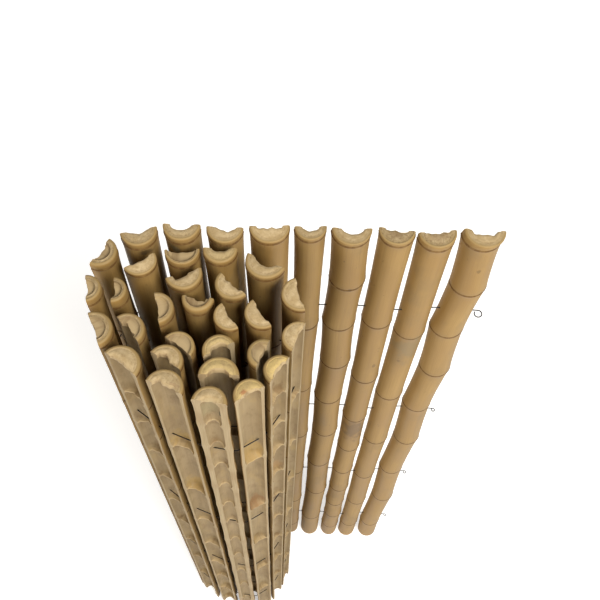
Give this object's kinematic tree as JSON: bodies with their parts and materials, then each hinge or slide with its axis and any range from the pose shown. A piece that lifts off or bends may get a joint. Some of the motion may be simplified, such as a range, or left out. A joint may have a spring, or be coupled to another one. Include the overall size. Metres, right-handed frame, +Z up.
{
  "type": "half-round bamboo fence",
  "caption": "Fence mat of split half-round bamboo canes threaded on tie wires, standing on end and partly rolled up, with its free end leading off straight.",
  "frame": {"origin": "on the floor, in the middle of the box round the standing mat", "axes": "+Z up along the canes, +X along the free end of the mat, +Y towards the split sides of the free end"},
  "size_m": [0.5811, 0.2644, 1.8],
  "materials": {
    "bamboo": "dry natural skin, pale split faces",
    "wire": "dark annealed wire"
  },
  "bodies": {
    "root": {"half_cane_01": "bamboo", "half_cane_02": "bamboo", "half_cane_03": "bamboo", "half_cane_04": "bamboo", "half_cane_05": "bamboo", "half_cane_06": "bamboo", "half_cane_07": "bamboo", "half_cane_08": "bamboo", "half_cane_09": "bamboo", "half_cane_10": "bamboo", "half_cane_11": "bamboo", "half_cane_12": "bamboo", "half_cane_13": "bamboo", "half_cane_14": "bamboo", "half_cane_15": "bamboo", "half_cane_16": "bamboo", "half_cane_17": "bamboo", "half_cane_18": "bamboo", "half_cane_19": "bamboo", "half_cane_20": "bamboo", "half_cane_21": "bamboo", "half_cane_22": "bamboo", "half_cane_23": "bamboo", "half_cane_24": "bamboo", "half_cane_25": "bamboo", "half_cane_26": "bamboo", "half_cane_27": "bamboo", "half_cane_28": "bamboo", "half_cane_29": "bamboo", "half_cane_30": "bamboo", "half_cane_31": "bamboo", "half_cane_32": "bamboo", "half_cane_33": "bamboo", "half_cane_34": "bamboo", "half_cane_35": "bamboo", "half_cane_36": "bamboo", "tie_wire_1": "wire", "tie_wire_2": "wire", "tie_wire_3": "wire", "tie_wire_4": "wire"}
  },
  "joints": []
}
